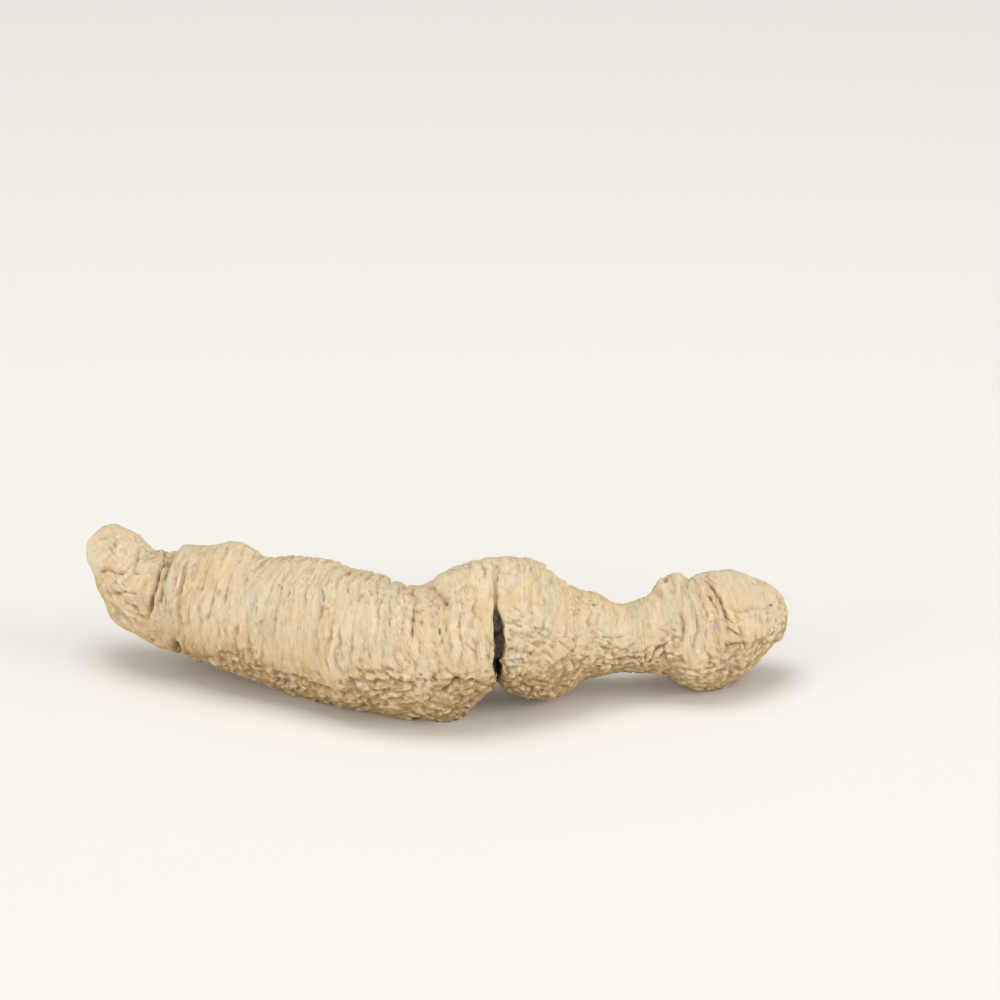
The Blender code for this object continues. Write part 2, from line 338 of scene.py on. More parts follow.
# %% Rings, creases, net and calm spots
BORDER_WOBBLE = 0.14
END_BORDER_WOBBLE = 0.8
NET_LOWER = 0.20
NET_LESS_ON_NARROW_END = 0.8
NET_ON_KNOB_END = 0.2
CREASES_LESS_ON_KNOB = 0.8
TIP_SPOT_CALM = 0.8


def spot(x, degrees, size_x, size_round):
    """exp(-(a^2 + b^2)^2), where a and b are the distances from a place, each in sizes of the spot."""
    a = (along - along_at(x)) / size_x
    b = girth * ((angle - math.radians(degrees) + math.pi) % (2 * math.pi) - math.pi) / size_round
    return np.exp(-((a * a + b * b) ** 2))


def part_between(start, full, fading, gone):
    """0 before X = start in the stations' table, 1 from full to fading, and 0 again past gone."""
    return ramp(station_x, start, full) * (1 - ramp(station_x, fading, gone))


# -1 along the top of the root and 1 along its bottom.
lowness = -np.sin(angle)
border = waves(40, (3, 8), EVERY_WAY, straight)
left_part = ramp(-station_x, 6.0, 14.0)
far_left_part = ramp(-station_x, 12.0, 22.0)
past_crack_part = part_between(6.5, 8.5, 15.0, 18.0)
neck = part_between(16.0, 19.0, 25.0, 28.0)
narrow_end = ramp(-station_x + END_BORDER_WOBBLE * border, 32.5, 36.0)
knob_end = ramp(station_x + END_BORDER_WOBBLE * border, 37.5, 41.5)
net_starts_lower = NET_LOWER * (left_part + far_left_part)
under = ramp(lowness + BORDER_WOBBLE * border - net_starts_lower, -0.10, 0.28)
low_side = ramp(lowness + BORDER_WOBBLE * border, -0.75, -0.40)
beyond_crack = ramp(station_x, 6.5, 8.5) * (1 - CREASES_LESS_ON_KNOB * ramp(station_x, 27.0, 31.0))
creased = np.clip(narrow_end + low_side * beyond_crack, 0, 1)
netted = np.clip(under * (1 - NET_LESS_ON_NARROW_END * narrow_end) + NET_ON_KNOB_END * knob_end, 0, 1)
cheek = spot(39.0, 104, 4.0, 5.0)
tip_spot = spot(-41.2, 200, 1.9, 2.2)
calm = np.clip(cheek + TIP_SPOT_CALM * tip_spot, 0, 1)
print(f"the net covers {netted.mean():.0%} of the skin, the lengthwise creases {creased.mean():.0%}")

# %% Painted shade underneath, and painted warm reflected light low down
PAINTED_SHADE_WOBBLE = 0.08
DARK_HIGHER_LEFT = 0.14
DARK_HIGHER_PAST_CRACK = 0.24
NARROW_END_PALER = 0.8
KNOB_PALER = 0.3
PAINTED_BOUNCE_WOBBLE = 0.10
PAINTED_BOUNCE_LESS_AT_ENDS = 0.8

# Painted shade: darker and browner towards the bottom, reaching higher on the left part and past the
# crack, and paler again on the two ends.
dark_starts_higher = DARK_HIGHER_LEFT * left_part + DARK_HIGHER_PAST_CRACK * past_crack_part
painted_shade_below = ramp(lowness + PAINTED_SHADE_WOBBLE * border + dark_starts_higher, 0.15, 0.80)
painted_shade_below = painted_shade_below * (1 - NARROW_END_PALER * ramp(-station_x, 30.5, 34.0))
painted_shade_below = painted_shade_below * (1 - KNOB_PALER * ramp(station_x, 29.0, 33.0))
# Painted warm reflected light: the skin is warmer towards the bottom, less so on the two ends.
painted_warm_bounce = ramp(lowness + PAINTED_BOUNCE_WOBBLE * border, -0.35, 0.45)
painted_warm_bounce = painted_warm_bounce * (1 - PAINTED_BOUNCE_LESS_AT_ENDS * narrow_end) * (1 - PAINTED_BOUNCE_LESS_AT_ENDS * knob_end)
print(f"{(painted_shade_below > 0.5).mean():.0%} of the skin is darker, {(painted_warm_bounce > 0.5).mean():.0%} of it warmer")

# %% [markdown]
# ## Lumps and wrinkles
#
# Under the wrinkles lie the lumps that make the outline uneven. The wrinkles themselves come in several
# sizes, one over the other. All are read at places that are pushed about a little, so that no wrinkle
# runs dead straight, and a slow field makes them strong here and faint there, which breaks them up.

# %% Lumps
LUMP_HEIGHT = 0.30
SMALL_LUMPS = 0.10
END_LUMPS = 0.13
COARSE_WAVES = 24


def ripples(seed, lengths, turns):
    """The construction's own lumps: sum of cos(2 pi along / length + turns angle + phase), with whole
    turns, divided by sqrt(2 COARSE_WAVES)."""
    draw = np.random.default_rng(seed)
    total = np.zeros(along.shape)
    for _ in range(COARSE_WAVES):
        wave = 2 * math.pi / draw.uniform(*lengths)
        whole_turns = draw.integers(turns[0], turns[1] + 1) * draw.choice((-1, 1))
        total += np.cos(wave * along + whole_turns * angle + draw.uniform(0, 2 * math.pi))
    return total / math.sqrt(2 * COARSE_WAVES)


lumps = LUMP_HEIGHT * ripples(3, (8, 20), (0, 3))
lumps += SMALL_LUMPS * waves(49, (3.5, 7), EVERY_WAY, straight)
at_ends = np.maximum(narrow_end, knob_end) * (1 - calm)
lumps += END_LUMPS * at_ends * waves(54, (2.2, 4.5), EVERY_WAY, straight)
print(f"lumps from {lumps.min():.2f} to {lumps.max():.2f} mm")

# %% Rings
PUSH = 0.24
FINE_PUSH = 0.08
BROAD_RINGS = 0.18
FINE_RINGS = 0.13
THIN_RINGS = 0.10
LOW_RINGS_MORE = 0.7
MIDDLE_HEIGHT = 0.6

pushed = straight.copy()
for axis in range(3):
    pushed[..., axis] += PUSH * waves(70 + axis, (4, 10), EVERY_WAY, straight)
    pushed[..., axis] += FINE_PUSH * waves(80 + axis, (1.8, 3.5), EVERY_WAY, straight)
broad = folds_of(waves(44, (2.4, 4.2), ROUND_THE_ROOT, pushed), 1.3) - MIDDLE_HEIGHT
fine = folds_of(waves(45, (1.1, 1.9), ROUND_THE_ROOT, pushed), 0.6) - MIDDLE_HEIGHT
thin = folds_of(waves(46, (0.8, 1.2), MOSTLY_ROUND, pushed)) - MIDDLE_HEIGHT
ringed = BROAD_RINGS * broad + FINE_RINGS * fine + THIN_RINGS * thin
ringed = ringed * (1 + LOW_RINGS_MORE * left_part * ramp(lowness, -0.2, 0.5))
print(f"the rings alone run from {ringed.min():.2f} to {ringed.max():.2f} mm")

# %% Lengthwise creases and the net of scales
CREASES = 0.34
CREASE_RIDGES = 0.18
FINE_CREASES = 0.15
SCALES = 0.52
SCALE_RIDGES = 0.18
GRAINS = 0.22
RINGS_SHOW_THROUGH = 0.4

crease = folds_of(waves(51, (1.0, 1.8), LENGTHWISE, pushed)) - MIDDLE_HEIGHT
crease_ridge = MIDDLE_HEIGHT - folds_of(waves(56, (1.4, 2.4), LOOSELY_LENGTHWISE, pushed))
fine_crease = folds_of(waves(52, (0.8, 1.2), LOOSELY_LENGTHWISE, pushed)) - MIDDLE_HEIGHT
scale = folds_of(waves(47, (1.4, 2.4), LOOSELY_LENGTHWISE, pushed), 0.6) - MIDDLE_HEIGHT
scale_ridge = MIDDLE_HEIGHT - folds_of(waves(57, (1.2, 2.2), EVERY_WAY, pushed))
grain = folds_of(waves(48, (0.8, 1.3), EVERY_WAY, pushed)) - MIDDLE_HEIGHT
lengthwise = CREASES * crease + CREASE_RIDGES * crease_ridge + FINE_CREASES * fine_crease
net = SCALES * scale + SCALE_RIDGES * scale_ridge + GRAINS * grain
lengthwise += RINGS_SHOW_THROUGH * BROAD_RINGS * broad
net += RINGS_SHOW_THROUGH * BROAD_RINGS * broad
print(f"the creases run from {lengthwise.min():.2f} to {lengthwise.max():.2f} mm")
print(f"the net runs from {net.min():.2f} to {net.max():.2f} mm")

# %% All wrinkles together
USUAL_STRENGTH = 0.85
SLOW_CHANGE = 0.30
QUICK_CHANGE = 0.30
CALM_SPOTS_CALMER = 0.75
NARROW_END_CALMER = 0.55
NECK_CALMER = 0.35

slow = waves(41, (5, 14), EVERY_WAY, straight)
quick = waves(42, (1.6, 3.6), EVERY_WAY, straight)
strength = np.clip(USUAL_STRENGTH + SLOW_CHANGE * slow + QUICK_CHANGE * quick, 0.25, 1.6)
ringed_share = (1 - creased) * (1 - netted)
creased_share = creased * (1 - netted)
wrinkles = ringed * ringed_share + lengthwise * creased_share + net * netted
wrinkles = wrinkles * strength * (1 - CALM_SPOTS_CALMER * calm)
wrinkles = wrinkles * (1 - NARROW_END_CALMER * narrow_end) * (1 - NECK_CALMER * neck)
print(f"wrinkles from {wrinkles.min():.2f} to {wrinkles.max():.2f} mm")

# %% [markdown]
# ## Folds, slits and pits
#
# These have a place of their own. A fold or a slit is a short line on the unrolled skin, given as X in
# the stations' table and degrees round the root from its back over its top. It has a groove, a raised lip
# on both sides, and a dark stain in the groove that is partly painted shade, and all of them fade towards
# the line's ends. A pit is round, and dark in the same way.

# %% Folds on the narrow end and the shoulder
# Each line: its points, the groove's half width, its depth, the lips' height and the strength of its
# stain and painted shade.
NARROW_END_FOLDS = (
    (((-34.2, 35), (-33.9, 90), (-33.6, 125)), 0.60, 0.95, 0.10, 0.30),
    (((-37.9, 55), (-36.7, 80), (-34.6, 112), (-34.3, 140), (-34.4, 175), (-34.7, 200)),
     0.26, 0.46, 0.12, 0.75),
    (((-33.7, 112), (-33.3, 128), (-33.2, 150), (-33.2, 172)), 0.24, 0.38, 0.12, 0.60),
    (((-31.1, 104), (-30.5, 136), (-30.4, 168), (-29.8, 190), (-31.2, 212)), 0.30, 0.32, 0.10, 0.30),
    (((-31.0, 208), (-31.2, 240), (-31.2, 275)), 0.55, 1.10, 0.15, 0.50),
    (((-40.1, 195), (-39.8, 162), (-39.2, 154), (-38.4, 136)), 0.24, 0.36, 0.12, 0.55),
    (((-38.5, 188), (-37.4, 164), (-35.8, 158)), 0.20, 0.30, 0.08, 0.50),
    (((-37.9, 195), (-36.2, 201), (-35.2, 214), (-34.6, 234)), 0.24, 0.30, 0.10, 0.35),
    (((-42.0, 96), (-41.1, 118), (-40.4, 140)), 0.26, 0.24, 0.10, 0.30),
    (((-39.9, 86), (-38.8, 111), (-37.7, 140)), 0.22, 0.24, 0.08, 0.40),
    (((-37.6, 178), (-36.0, 180), (-34.8, 189)), 0.20, 0.28, 0.08, 0.45),
    (((-39.4, 183), (-37.9, 194), (-36.8, 210)), 0.20, 0.24, 0.08, 0.35),
    (((-40.6, 215), (-38.6, 222), (-36.8, 232)), 0.24, 0.24, 0.08, 0.35),
    (((-26.0, 124), (-25.9, 156), (-26.0, 166), (-27.0, 180)), 0.24, 0.26, 0.06, 0.50),
    (((-24.9, 115), (-24.5, 137), (-24.5, 158)), 0.28, 0.18, 0.04, 0.50),
    (((-23.5, 104), (-22.6, 134)), 0.28, 0.15, 0.03, 0.40),
)

# %% Folds on the belly and beyond the crack
BELLY_FOLDS = (
    (((-5.8, 38), (-5.5, 98)), 0.45, 0.55, 0.12, 0.25),
    (((-0.9, 60), (-0.3, 80), (0.3, 98), (1.4, 118), (1.8, 130)), 0.75, 0.40, 0.14, 0.00),
    (((-0.7, 66), (-0.2, 84), (0.4, 100), (1.4, 118), (1.7, 127)), 0.26, 0.36, 0.08, 0.50),
    (((3.4, 160), (4.8, 172)), 0.18, 0.22, 0.05, 0.5),
    (((-0.6, 203), (1.0, 198), (2.0, 190), (4.1, 195), (5.2, 207)), 0.22, 0.42, 0.12, 0.65),
    (((-17.8, 207), (-15.0, 206), (-13.1, 206), (-10.6, 208)), 0.30, 0.50, 0.15, 0.75),
    (((-15.6, 214), (-13.9, 229), (-11.6, 233)), 0.30, 0.42, 0.12, 0.60),
    (((6.8, 84), (6.9, 106), (6.9, 134), (7.0, 154)), 0.20, 0.42, 0.05, 0.9),
    (((10.0, 164), (12.0, 169)), 0.15, 0.22, 0.05, 0.45),
    (((19.0, 158), (21.1, 158), (24.2, 150)), 0.16, 0.24, 0.06, 0.5),
    (((19.6, 171), (22.2, 180), (24.4, 172)), 0.20, 0.30, 0.08, 0.50),
    (((21.0, 199), (23.1, 196), (26.0, 190)), 0.22, 0.32, 0.08, 0.50),
    (((16.5, 163), (16.1, 178), (14.3, 186), (13.2, 192)), 0.22, 0.30, 0.10, 0.4),
    (((10.0, 199), (12.3, 202), (14.6, 209)), 0.20, 0.32, 0.10, 0.6),
    (((7.9, 171), (9.6, 174), (12.0, 177)), 0.17, 0.24, 0.07, 0.5),
    (((8.2, 182), (10.3, 184), (12.9, 183)), 0.17, 0.24, 0.07, 0.5),
    (((14.0, 160), (15.3, 168), (17.0, 178)), 0.18, 0.22, 0.06, 0.4),
)

# %% Folds on the knob
KNOB_FOLDS = (
    (((33.6, 80), (34.7, 112), (35.4, 126), (35.7, 137), (36.0, 151)), 0.22, 0.42, 0.10, 0.65),
    (((35.4, 135), (36.5, 140), (37.6, 146), (39.5, 143), (41.1, 147), (42.3, 138)),
     0.22, 0.24, 0.10, 0.28),
    (((35.0, 175), (36.6, 177), (38.5, 183)), 0.20, 0.28, 0.08, 0.5),
    (((34.8, 134), (34.8, 150), (34.5, 166), (34.4, 184)), 0.18, 0.22, 0.06, 0.35),
    (((29.8, 124), (30.2, 144), (30.0, 168)), 0.18, 0.32, 0.08, 0.55),
    (((26.5, 179), (28.2, 170), (28.8, 162)), 0.20, 0.32, 0.10, 0.5),
    (((31.2, 126), (31.6, 154), (31.2, 180)), 0.20, 0.16, 0.05, 0.3),
    (((28.8, 60), (28.8, 80), (28.7, 94)), 0.22, 0.40, 0.06, 0.50),
)

# %% Notches across the upper outline, where single rings end
TOP_NOTCHES = (
    (((-19.6, 38), (-19.2, 68), (-19.3, 98)), 0.28, 0.26, 0.10, 0.20),
    (((-16.8, 40), (-16.5, 70), (-16.9, 96)), 0.26, 0.32, 0.12, 0.25),
    (((-13.4, 36), (-13.1, 66), (-13.3, 92)), 0.30, 0.30, 0.14, 0.20),
    (((-10.9, 42), (-10.7, 72), (-10.8, 98)), 0.26, 0.30, 0.12, 0.25),
    (((-8.3, 38), (-8.0, 68), (-8.2, 100)), 0.30, 0.38, 0.16, 0.30),
    (((-3.5, 42), (-3.2, 72), (-3.4, 94)), 0.26, 0.30, 0.10, 0.20),
    (((12.6, 44), (12.8, 70), (12.5, 98)), 0.28, 0.28, 0.14, 0.20),
    (((15.5, 42), (15.8, 70), (15.6, 94)), 0.26, 0.26, 0.12, 0.20),
)

# %% Slits and pits
SLITS = (
    (((-2.0, 112), (-2.1, 130), (-2.4, 152)), 0.16, 0.40, 0.05, 0.68),
    (((-1.2, 130), (-1.1, 139)), 0.15, 0.30, 0.03, 0.75),
    (((0.7, 142), (1.1, 161)), 0.12, 0.30, 0.05, 0.70),
    (((-18.8, 125), (-17.4, 131)), 0.12, 0.20, 0.02, 0.55),
    (((-16.4, 127), (-16.6, 136)), 0.13, 0.22, 0.02, 0.70),
    (((-9.8, 150), (-9.5, 167)), 0.13, 0.16, 0.02, 0.40),
    (((-12.9, 116), (-12.1, 132)), 0.17, 0.18, 0.02, 0.5),
    (((34.5, 110), (35.3, 127)), 0.13, 0.32, 0.05, 0.70),
    (((34.0, 120), (34.8, 138)), 0.14, 0.34, 0.05, 0.70),
    (((35.6, 143), (36.5, 156)), 0.13, 0.30, 0.05, 0.65),
    (((35.6, 156), (36.4, 164), (37.5, 172)), 0.15, 0.34, 0.05, 0.65),
    (((27.4, 80), (27.7, 94), (28.4, 108)), 0.24, 0.26, 0.08, 0.25),
    (((28.7, 92), (29.3, 104), (29.0, 118)), 0.20, 0.24, 0.08, 0.30),
    (((29.9, 86), (30.4, 98), (30.9, 114)), 0.20, 0.24, 0.08, 0.30),
    (((28.0, 100), (29.6, 102), (30.6, 97)), 0.16, 0.20, 0.06, 0.30),
)
# Each: X, degrees, radius and depth.
PITS = (
    (18.8, 110, 0.30, 0.50),
    (18.2, 102, 0.16, 0.22),
    (16.7, 123, 0.18, 0.20),
    (40.5, 98, 0.20, 0.18),
    (42.0, 143, 0.22, 0.25),
)


def beside(points):
    """The distance in mm on the unrolled skin to the nearest stretch of a line, and how far along the
    line that place is, from 0 to 1."""
    nearest = np.full(along.shape, np.inf)
    passed = np.zeros(along.shape)
    for i, ((x, start), (next_x, end)) in enumerate(zip(points, points[1:])):
        off_along = along - along_at(x)
        off_round = girth * (angle - math.radians(start))
        run = along_at(next_x) - along_at(x)
        climb = girth * math.radians(end - start)
        share = np.clip((off_along * run + off_round * climb) / (run * run + climb * climb), 0, 1)
        away = np.hypot(off_along - share * run, off_round - share * climb)
        closer = away < nearest
        nearest = np.where(closer, away, nearest)
        passed = np.where(closer, (i + share) / (len(points) - 1), passed)
    return nearest, passed


# %% Cut them into the skin
LINE_WOBBLE = 0.22
UNEVEN_DEPTH = 0.16
FADE = 7.0
LIP_AWAY = 2.2

mark_relief = np.zeros(along.shape)
stain_and_shade = np.zeros(along.shape)
uneven = LINE_WOBBLE * waves(50, (0.8, 2.2), EVERY_WAY, straight)
broken = np.clip(1 + UNEVEN_DEPTH * waves(53, (1.0, 2.6), EVERY_WAY, straight), 0.5, 1.4)
lines = NARROW_END_FOLDS + BELLY_FOLDS + KNOB_FOLDS + TOP_NOTCHES + SLITS
for line, width, depth, lip, dark in lines:
    away, passed = beside(line)
    away = away + uneven * width
    fade = np.clip(FADE * passed * (1 - passed), 0, 1)
    groove = fade * broken * np.exp(-((away / width) ** 2))
    lips = fade * np.exp(-(((away - LIP_AWAY * width) / width) ** 2))
    mark_relief += lip * lips - depth * groove
    # Each groove's dark is a stain and painted shade together.
    stain_and_shade = np.maximum(stain_and_shade, dark * groove)
for x, degrees, radius, depth in PITS:
    away = np.hypot(along - along_at(x), girth * (angle - math.radians(degrees)))
    pit = np.exp(-((away / radius) ** 2))
    mark_relief -= depth * pit
    stain_and_shade = np.maximum(stain_and_shade, pit)
print(f"{len(lines)} folds, notches and slits, {-mark_relief.min():.2f} mm deep at most")

# %% [markdown]
# ## The rootlet's stub
#
# On the neck's end of the knob stands what is left of a rootlet: a broad round stub with lower lobes
# beside it. Each is a round hill with a flat top, h exp(-(d / r)^3).

# %% The stub
# Each: X, degrees, radius and height.
HILLS = (
    (29.3, 80, 1.9, 1.85),
    (28.7, 100, 0.9, 0.45),
    (30.4, 106, 1.1, 0.35),
    (28.6, 122, 0.8, 0.25),
)
hills = np.zeros(along.shape)
for x, degrees, radius, height in HILLS:
    away = np.hypot(along - along_at(x), girth * (angle - math.radians(degrees)))
    hills += height * np.exp(-((away / radius) ** 3))
print(f"the stub is {hills.max():.1f} mm high")

# %% [markdown]
# ## The skin as a whole
#
# The smooth form comes first, with its lumps and hills. Its normals are worked out from its neighbours on
# the grid, and the wrinkles stand out along them. What would sink below the table is pressed flat against
# it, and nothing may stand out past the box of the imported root.

# %% The form and its normals
LIP_ROUND = 0.8
LIP_DROP = 0.22


def normals_of(points):
    """The cross product of the differences round the root and along it, made one long: they point out."""
    round_it = np.roll(points, -1, axis=1) - np.roll(points, 1, axis=1)
    along_it = np.gradient(points, axis=0)
    return unit(np.cross(round_it, along_it))


past_crack = np.clip(along - right_lip, 0, None)
lip_drop = LIP_DROP * opening * np.exp(-((past_crack / LIP_ROUND) ** 2)) * (along >= right_lip)
height = lumps + hills - lip_drop
outward = normals_of(skin(along, angle, height))
print(f"the smooth form stands up to {height.max():.2f} mm out of its sections")

# %% Wrinkles, folds and the crack's rough walls
WALL_WOBBLE = 0.09
WALL_STRETCH = 3
OPEN_FROM = 0.3

skin_relief = (wrinkles + mark_relief) * (1 - down)
wall_places = straight + (WALL_STRETCH * sunk)[..., None]
wall_relief = WALL_WOBBLE * waves(63, (0.7, 2.0), EVERY_WAY, wall_places)
wall_relief = wall_relief * down * (crack_depth > OPEN_FROM)
forward = unit(np.cross(upward, side))
points = skin(along, angle, height - sunk)
points = points + outward * skin_relief[..., None] + forward * wall_relief[..., None]
low_corner, high_corner = (np.array(corner) / MM for corner in cad_box)
points = np.clip(points, low_corner, high_corner)
print("the skin reaches from", points.min(axis=(0, 1)).round(2), "to", points.max(axis=(0, 1)).round(2))

# %% [markdown]
# ## The mesh
#
# The grid becomes one closed mesh: four-sided faces between the rings, and a fan of triangles to a point
# in the middle of each end.

# %% Faces and end points
def closed_faces(rings, sides):
    """Quads (i, j), (i, j + 1), (i + 1, j + 1), (i + 1, j), and a fan to a last point at each end."""
    i, j = np.meshgrid(np.arange(rings - 1), np.arange(sides), indexing="ij")
    k = (j + 1) % sides
    quads = np.stack([i * sides + j, i * sides + k, (i + 1) * sides + k, (i + 1) * sides + j], axis=-1)
    first, last = rings * sides, rings * sides + 1
    j, k = np.arange(sides), (np.arange(sides) + 1) % sides
    start = np.stack([first + 0 * j, k, j], axis=-1)
    end = np.stack([last + 0 * j, (rings - 1) * sides + j, (rings - 1) * sides + k], axis=-1)
    return quads.reshape(-1, 4).tolist() + start.tolist() + end.tolist()


def with_ends(values):
    """The grid's values as one list, followed by the mean of the first ring and that of the last."""
    per_ring = values.reshape(RINGS, SIDES, -1)
    end_points = per_ring[[0, -1]].mean(axis=1)
    return np.concatenate([per_ring.reshape(RINGS * SIDES, -1), end_points])


mesh = bpy.data.meshes.new("dried_root")
mesh.from_pydata((with_ends(points) * MM).tolist(), [], closed_faces(RINGS, SIDES))
mesh.shade_smooth()
root = bpy.data.objects.new("dried_root", mesh)
bpy.context.scene.collection.objects.link(root)
print(f"{len(mesh.vertices)} points, {len(mesh.polygons)} faces")

# %% [markdown]
# ## What the skin tells its material
#
# The material has to know where it is: how deep in a wrinkle, in a fold or in the crack, in which region,
# and where on the straightened root, so that its streaks follow the bend. All of this goes along with the
# mesh as named values on its points. A point is in a hollow when it lies lower than the mean of its
# neighbours, and on a crest when it lies higher.

# %% Hollows and crests
BLUR_RINGS = 4
BLUR_SIDES = 3
HOLLOW_DEPTH = 0.14
CREST_HEIGHT = 0.11


def blurred(values, rings, sides):
    """The mean over a small window of the grid: 2 rings + 1 by 2 sides + 1 points."""
    padded = np.pad(values, ((rings, rings), (0, 0)), mode="edge")
    total = sum(padded[i:i + len(values)] for i in range(2 * rings + 1)) / (2 * rings + 1)
    return sum(np.roll(total, j, axis=1) for j in range(-sides, sides + 1)) / (2 * sides + 1)


above = wrinkles - blurred(wrinkles, BLUR_RINGS, BLUR_SIDES)
hollow = np.clip(-above / HOLLOW_DEPTH, 0, 1) * (1 - down)
crest = np.clip(above / CREST_HEIGHT, 0, 1) * (1 - down)
print(f"{(hollow > 0.5).mean():.0%} of the skin is in hollows, {(crest > 0.5).mean():.0%} on crests")

# %% Store them
INSIDE_CRACK = (0.3, 1.4)
CREASES_CRUMPLED = 0.45
FLECK_BAND_X = -5.0
FLECK_BAND = 1.3
FLECKS_EVERYWHERE = 0.25
FLECKS_CHANGE = 0.35
FLECKS_IN_BAND = 0.6


def store(name, values):
    """Puts one number or one vector for each point of the grid on the mesh, under a name."""
    flat = with_ends(values)
    kind = ("FLOAT_VECTOR", "vector") if flat.shape[1] == 3 else ("FLOAT", "value")
    attribute = mesh.attributes.new(name, kind[0], "POINT")
    attribute.data.foreach_set(kind[1], flat.astype(np.float32).ravel())


fleck_band = np.exp(-(((station_x - FLECK_BAND_X) / FLECK_BAND) ** 2))
flecked = FLECKS_EVERYWHERE + FLECKS_CHANGE * waves(55, (3, 9), MOSTLY_ROUND, straight)
flecked = np.clip(flecked + FLECKS_IN_BAND * fleck_band, 0, 1)
store("straight", straight)
store("hollow", hollow)
store("crest", crest)
store("stain_and_shade", np.clip(stain_and_shade, 0, 1) * (1 - down))
store("inside", ramp(sunk, *INSIDE_CRACK))
# The masks of the painted shade underneath and of the painted warm reflected light low down.
store("painted_shade_below", painted_shade_below)
store("painted_warm_bounce", painted_warm_bounce)
store("crumpled", np.clip(CREASES_CRUMPLED * creased + netted, 0, 1))
store("netted", netted)
store("calm", calm)
store("tip_spot", tip_spot)
store("flecked", flecked)
print("the skin carries", [a.name for a in mesh.attributes if a.domain == "POINT"])

# %% [markdown]
# ## The bark's finish
#
# Dried bark has no gloss: light only scatters from it. Its colour is laid on in layers, as a painter
# would: a pale tan ground, warm and cool patches, streaks that follow the rings, brown in the furrows,
# grey flecks where the outer cork is left, dust and a painted highlight on the crests, painted shade and
# painted warm reflected light underneath, and dark brown in the slits, partly painted shade, and in the
# crack. The finest grain is too small to be mesh, so it is a bump, and its own noise shades it too:
# painted shade in its low places, dust and a painted highlight on its tops.

# %% Small helpers for shader nodes
bark = bpy.data.materials.new("dried_bark")
bark.use_nodes = True
tree = bark.node_tree
shader = tree.nodes["Principled BSDF"]


def feed(socket, value):
    """Links a socket's source, or sets its value."""
    if isinstance(value, bpy.types.NodeSocket):
        tree.links.new(value, socket)
    else:
        socket.default_value = value


def value_of(name):
    """The number that the mesh holds under a name."""
    made = tree.nodes.new("ShaderNodeAttribute")
    made.attribute_name = name
    return made.outputs["Fac"]


def between(value, low, high, most=1.0):
    """0 up to low, most from high on, and a smooth step between them. Where low is the larger of the two,
    it is most up to high and 0 from low on."""
    made = tree.nodes.new("ShaderNodeMapRange")
    made.interpolation_type = "SMOOTHSTEP"
    feed(made.inputs["Value"], value)
    made.inputs["From Min"].default_value = low
    made.inputs["From Max"].default_value = high
    made.inputs["To Min"].default_value = 0.0
    made.inputs["To Max"].default_value = most
    return made.outputs["Result"]


def times(a, b):
    """a times b."""
    made = tree.nodes.new("ShaderNodeMath")
    made.operation = "MULTIPLY"
    feed(made.inputs[0], a)
    feed(made.inputs[1], b)
    return made.outputs["Value"]


# %% Noise on the straightened root
def speckle(stretch, shift, detail=3.0, roughness=0.55, distortion=0.0):
    """Noise from about 0.2 to 0.8 around 0.5, read at the place on the straightened root in mm, times
    the stretch, plus the shift."""
    place = tree.nodes.new("ShaderNodeAttribute")
    place.attribute_name = "straight"
    scaled = tree.nodes.new("ShaderNodeMapping")
    scaled.inputs["Scale"].default_value = stretch
    scaled.inputs["Location"].default_value = (shift, shift, shift)
    tree.links.new(place.outputs["Vector"], scaled.inputs["Vector"])
    made = tree.nodes.new("ShaderNodeTexNoise")
    tree.links.new(scaled.outputs["Vector"], made.inputs["Vector"])
    made.inputs["Scale"].default_value = 1.0
    made.inputs["Detail"].default_value = detail
    made.inputs["Roughness"].default_value = roughness
    made.inputs["Distortion"].default_value = distortion
    return made.outputs["Fac"]


# The sockets of a Mix node for colours share their names with those for numbers, so they go by place.
def mixed(ground, over, share, kind="RGBA"):
    """over laid on ground, as much of it as share says: two colours, or two numbers."""
    first, second, result = (6, 7, 2) if kind == "RGBA" else (2, 3, 0)
    made = tree.nodes.new("ShaderNodeMix")
    made.data_type = kind
    feed(made.inputs[0], share)
    feed(made.inputs[first], ground)
    feed(made.inputs[second], over)
    return made.outputs[result]


# %% The grain: threads that follow the rings, pebbles where the skin is crumpled
THREADS = (2.0, 0.45, 0.45)
CRUMBS = (1.5, 2.0, 2.0)
PEBBLES = (1.15, 1.35, 1.35)
POWDER = (3.2, 2.4, 2.4)
PEBBLE_PUSH = 0.9
PUSH_SCALE = 1.3
PUSH_DETAIL = 2.0
PEBBLE_EDGE = 0.85
PEBBLE_TOP = 0.05
PEBBLE_SHARE = 0.40
POWDER_SHARE = 0.35
BUMP_ON_RINGS = 0.58
BUMP_ON_CRUMPLED = 0.95
GRAIN_DEPTH = 0.00038


def pebbles(stretch, push):
    """Round pebbles side by side: 1 in the middle of each, falling to 0 where they meet. The place is
    pushed about by noise first, so that no pebble is a neat one."""
    place = tree.nodes.new("ShaderNodeAttribute")
    place.attribute_name = "straight"
    scaled = tree.nodes.new("ShaderNodeMapping")
    scaled.inputs["Scale"].default_value = stretch
    tree.links.new(place.outputs["Vector"], scaled.inputs["Vector"])
    noise = tree.nodes.new("ShaderNodeTexNoise")
    noise.inputs["Scale"].default_value = PUSH_SCALE
    noise.inputs["Detail"].default_value = PUSH_DETAIL
    tree.links.new(scaled.outputs["Vector"], noise.inputs["Vector"])
    pushed_place = tree.nodes.new("ShaderNodeVectorMath")
    pushed_place.operation = "MULTIPLY_ADD"
    tree.links.new(noise.outputs["Color"], pushed_place.inputs[0])
    pushed_place.inputs[1].default_value = (push, push, push)
    tree.links.new(scaled.outputs["Vector"], pushed_place.inputs[2])
    made = tree.nodes.new("ShaderNodeTexVoronoi")
    made.inputs["Scale"].default_value = 1.0
    tree.links.new(pushed_place.outputs["Vector"], made.inputs["Vector"])
    return between(made.outputs["Distance"], PEBBLE_EDGE, PEBBLE_TOP)


